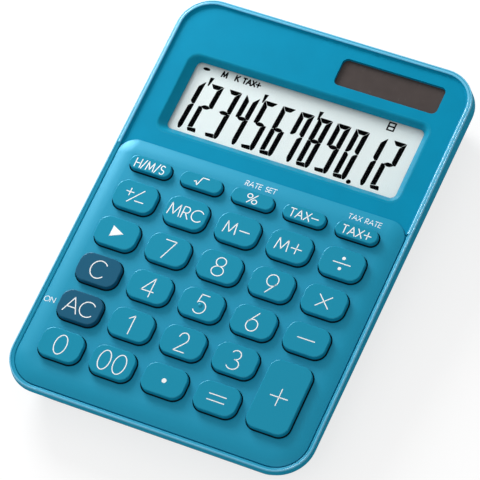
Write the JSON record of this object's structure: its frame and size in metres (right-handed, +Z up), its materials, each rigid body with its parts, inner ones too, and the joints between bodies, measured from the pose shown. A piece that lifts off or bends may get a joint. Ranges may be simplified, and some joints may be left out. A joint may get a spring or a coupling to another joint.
{
  "type": "desk calculator",
  "caption": "Solar desk calculator: a leaning slab with a bevelled display window, a raised key deck with sprung rounded keys, and a wedge-shaped rear case on rubber feet.",
  "frame": {"origin": "on the desk under the middle of the case, at the bottom of the feet", "axes": "+X to the user's right, +Y away from the user towards the display end, +Z up"},
  "size_m": [0.105, 0.149, 0.0246],
  "materials": {
    "case_plastic": "satin",
    "panel_plastic": "smooth",
    "key_plastic": "satin",
    "navy_key_plastic": "satin",
    "rear_plastic": "fine texture",
    "clear_lens": "clear",
    "lcd_glass": "clear",
    "reflector_film": "pearl grey",
    "holder_plastic": "black",
    "connector_rubber": "striped",
    "solar_glass": "dark brown",
    "tinned_wire": "tinned",
    "board_laminate": "phenolic laminate",
    "chip_epoxy": "black epoxy",
    "capacitor_sleeve": "sleeved can",
    "dome_silicone": "pale silicone",
    "screw_steel": "zinc plated",
    "cell_steel": "nickel plated",
    "contact_metal": "nickel plated",
    "foot_rubber": "matt black"
  },
  "bodies": {
    "case": {"front_case": "case_plastic", "display_panel": "panel_plastic", "display_lens": "clear_lens", "lcd_front_glass": "lcd_glass", "lcd_rear_glass": "lcd_glass", "lcd_reflector": "reflector_film", "lcd_holder": "holder_plastic", "zebra_strip": "connector_rubber", "solar_cell": "solar_glass", "solar_leads": "tinned_wire", "main_board": "board_laminate", "chip_cover": "chip_epoxy", "buffer_capacitor": "capacitor_sleeve", "dome_sheet": "dome_silicone", "rear_case": "rear_plastic", "battery_door": "rear_plastic", "battery_door_screw": "screw_steel", "button_cell": "cell_steel", "battery_positive_contact": "contact_metal", "battery_negative_contact": "contact_metal", "case_screws": "screw_steel", "board_screws": "screw_steel", "foot_front_left": "foot_rubber", "foot_front_right": "foot_rubber", "foot_rear_left": "foot_rubber", "foot_rear_right": "foot_rubber"},
    "key_time": {"key_time": "key_plastic"},
    "key_square_root": {"key_square_root": "key_plastic"},
    "key_percent": {"key_percent": "key_plastic"},
    "key_tax_minus": {"key_tax_minus": "key_plastic"},
    "key_tax_plus": {"key_tax_plus": "key_plastic"},
    "key_sign": {"key_sign": "key_plastic"},
    "key_memory_recall": {"key_memory_recall": "key_plastic"},
    "key_memory_minus": {"key_memory_minus": "key_plastic"},
    "key_memory_plus": {"key_memory_plus": "key_plastic"},
    "key_divide": {"key_divide": "key_plastic"},
    "key_shift_back": {"key_shift_back": "key_plastic"},
    "key_7": {"key_7": "key_plastic"},
    "key_8": {"key_8": "key_plastic"},
    "key_9": {"key_9": "key_plastic"},
    "key_multiply": {"key_multiply": "key_plastic"},
    "key_clear": {"key_clear": "navy_key_plastic"},
    "key_4": {"key_4": "key_plastic"},
    "key_5": {"key_5": "key_plastic"},
    "key_6": {"key_6": "key_plastic"},
    "key_minus": {"key_minus": "key_plastic"},
    "key_all_clear": {"key_all_clear": "navy_key_plastic"},
    "key_1": {"key_1": "key_plastic"},
    "key_2": {"key_2": "key_plastic"},
    "key_3": {"key_3": "key_plastic"},
    "key_plus": {"key_plus": "key_plastic"},
    "key_0": {"key_0": "key_plastic"},
    "key_00": {"key_00": "key_plastic"},
    "key_point": {"key_point": "key_plastic"},
    "key_equals": {"key_equals": "key_plastic"}
  },
  "joints": [
    {"name": "key_time_press", "type": "slide", "parent": "case", "child": "key_time", "axis": [0, 0.0698, -0.9976], "range_m": [0, 0.0012], "stiffness_N_per_m": 500, "springref_m": -0.0004, "deforming": ["dome_sheet"]},
    {"name": "key_square_root_press", "type": "slide", "parent": "case", "child": "key_square_root", "axis": [0, 0.0698, -0.9976], "range_m": [0, 0.0012], "stiffness_N_per_m": 500, "springref_m": -0.0004, "deforming": ["dome_sheet"]},
    {"name": "key_percent_press", "type": "slide", "parent": "case", "child": "key_percent", "axis": [0, 0.0698, -0.9976], "range_m": [0, 0.0012], "stiffness_N_per_m": 500, "springref_m": -0.0004, "deforming": ["dome_sheet"]},
    {"name": "key_tax_minus_press", "type": "slide", "parent": "case", "child": "key_tax_minus", "axis": [0, 0.0698, -0.9976], "range_m": [0, 0.0012], "stiffness_N_per_m": 500, "springref_m": -0.0004, "deforming": ["dome_sheet"]},
    {"name": "key_tax_plus_press", "type": "slide", "parent": "case", "child": "key_tax_plus", "axis": [0, 0.0698, -0.9976], "range_m": [0, 0.0012], "stiffness_N_per_m": 500, "springref_m": -0.0004, "deforming": ["dome_sheet"]},
    {"name": "key_sign_press", "type": "slide", "parent": "case", "child": "key_sign", "axis": [0, 0.0698, -0.9976], "range_m": [0, 0.0012], "stiffness_N_per_m": 500, "springref_m": -0.0004, "deforming": ["dome_sheet"]},
    {"name": "key_memory_recall_press", "type": "slide", "parent": "case", "child": "key_memory_recall", "axis": [0, 0.0698, -0.9976], "range_m": [0, 0.0012], "stiffness_N_per_m": 500, "springref_m": -0.0004, "deforming": ["dome_sheet"]},
    {"name": "key_memory_minus_press", "type": "slide", "parent": "case", "child": "key_memory_minus", "axis": [0, 0.0698, -0.9976], "range_m": [0, 0.0012], "stiffness_N_per_m": 500, "springref_m": -0.0004, "deforming": ["dome_sheet"]},
    {"name": "key_memory_plus_press", "type": "slide", "parent": "case", "child": "key_memory_plus", "axis": [0, 0.0698, -0.9976], "range_m": [0, 0.0012], "stiffness_N_per_m": 500, "springref_m": -0.0004, "deforming": ["dome_sheet"]},
    {"name": "key_divide_press", "type": "slide", "parent": "case", "child": "key_divide", "axis": [0, 0.0698, -0.9976], "range_m": [0, 0.0012], "stiffness_N_per_m": 500, "springref_m": -0.0004, "deforming": ["dome_sheet"]},
    {"name": "key_shift_back_press", "type": "slide", "parent": "case", "child": "key_shift_back", "axis": [0, 0.0698, -0.9976], "range_m": [0, 0.0012], "stiffness_N_per_m": 500, "springref_m": -0.0004, "deforming": ["dome_sheet"]},
    {"name": "key_7_press", "type": "slide", "parent": "case", "child": "key_7", "axis": [0, 0.0698, -0.9976], "range_m": [0, 0.0012], "stiffness_N_per_m": 500, "springref_m": -0.0004, "deforming": ["dome_sheet"]},
    {"name": "key_8_press", "type": "slide", "parent": "case", "child": "key_8", "axis": [0, 0.0698, -0.9976], "range_m": [0, 0.0012], "stiffness_N_per_m": 500, "springref_m": -0.0004, "deforming": ["dome_sheet"]},
    {"name": "key_9_press", "type": "slide", "parent": "case", "child": "key_9", "axis": [0, 0.0698, -0.9976], "range_m": [0, 0.0012], "stiffness_N_per_m": 500, "springref_m": -0.0004, "deforming": ["dome_sheet"]},
    {"name": "key_multiply_press", "type": "slide", "parent": "case", "child": "key_multiply", "axis": [0, 0.0698, -0.9976], "range_m": [0, 0.0012], "stiffness_N_per_m": 500, "springref_m": -0.0004, "deforming": ["dome_sheet"]},
    {"name": "key_clear_press", "type": "slide", "parent": "case", "child": "key_clear", "axis": [0, 0.0698, -0.9976], "range_m": [0, 0.0012], "stiffness_N_per_m": 500, "springref_m": -0.0004, "deforming": ["dome_sheet"]},
    {"name": "key_4_press", "type": "slide", "parent": "case", "child": "key_4", "axis": [0, 0.0698, -0.9976], "range_m": [0, 0.0012], "stiffness_N_per_m": 500, "springref_m": -0.0004, "deforming": ["dome_sheet"]},
    {"name": "key_5_press", "type": "slide", "parent": "case", "child": "key_5", "axis": [0, 0.0698, -0.9976], "range_m": [0, 0.0012], "stiffness_N_per_m": 500, "springref_m": -0.0004, "deforming": ["dome_sheet"]},
    {"name": "key_6_press", "type": "slide", "parent": "case", "child": "key_6", "axis": [0, 0.0698, -0.9976], "range_m": [0, 0.0012], "stiffness_N_per_m": 500, "springref_m": -0.0004, "deforming": ["dome_sheet"]},
    {"name": "key_minus_press", "type": "slide", "parent": "case", "child": "key_minus", "axis": [0, 0.0698, -0.9976], "range_m": [0, 0.0012], "stiffness_N_per_m": 500, "springref_m": -0.0004, "deforming": ["dome_sheet"]},
    {"name": "key_all_clear_press", "type": "slide", "parent": "case", "child": "key_all_clear", "axis": [0, 0.0698, -0.9976], "range_m": [0, 0.0012], "stiffness_N_per_m": 500, "springref_m": -0.0004, "deforming": ["dome_sheet"]},
    {"name": "key_1_press", "type": "slide", "parent": "case", "child": "key_1", "axis": [0, 0.0698, -0.9976], "range_m": [0, 0.0012], "stiffness_N_per_m": 500, "springref_m": -0.0004, "deforming": ["dome_sheet"]},
    {"name": "key_2_press", "type": "slide", "parent": "case", "child": "key_2", "axis": [0, 0.0698, -0.9976], "range_m": [0, 0.0012], "stiffness_N_per_m": 500, "springref_m": -0.0004, "deforming": ["dome_sheet"]},
    {"name": "key_3_press", "type": "slide", "parent": "case", "child": "key_3", "axis": [0, 0.0698, -0.9976], "range_m": [0, 0.0012], "stiffness_N_per_m": 500, "springref_m": -0.0004, "deforming": ["dome_sheet"]},
    {"name": "key_plus_press", "type": "slide", "parent": "case", "child": "key_plus", "axis": [0, 0.0698, -0.9976], "range_m": [0, 0.0012], "stiffness_N_per_m": 500, "springref_m": -0.0004, "deforming": ["dome_sheet"]},
    {"name": "key_0_press", "type": "slide", "parent": "case", "child": "key_0", "axis": [0, 0.0698, -0.9976], "range_m": [0, 0.0012], "stiffness_N_per_m": 500, "springref_m": -0.0004, "deforming": ["dome_sheet"]},
    {"name": "key_00_press", "type": "slide", "parent": "case", "child": "key_00", "axis": [0, 0.0698, -0.9976], "range_m": [0, 0.0012], "stiffness_N_per_m": 500, "springref_m": -0.0004, "deforming": ["dome_sheet"]},
    {"name": "key_point_press", "type": "slide", "parent": "case", "child": "key_point", "axis": [0, 0.0698, -0.9976], "range_m": [0, 0.0012], "stiffness_N_per_m": 500, "springref_m": -0.0004, "deforming": ["dome_sheet"]},
    {"name": "key_equals_press", "type": "slide", "parent": "case", "child": "key_equals", "axis": [0, 0.0698, -0.9976], "range_m": [0, 0.0012], "stiffness_N_per_m": 500, "springref_m": -0.0004, "deforming": ["dome_sheet"]}
  ]
}
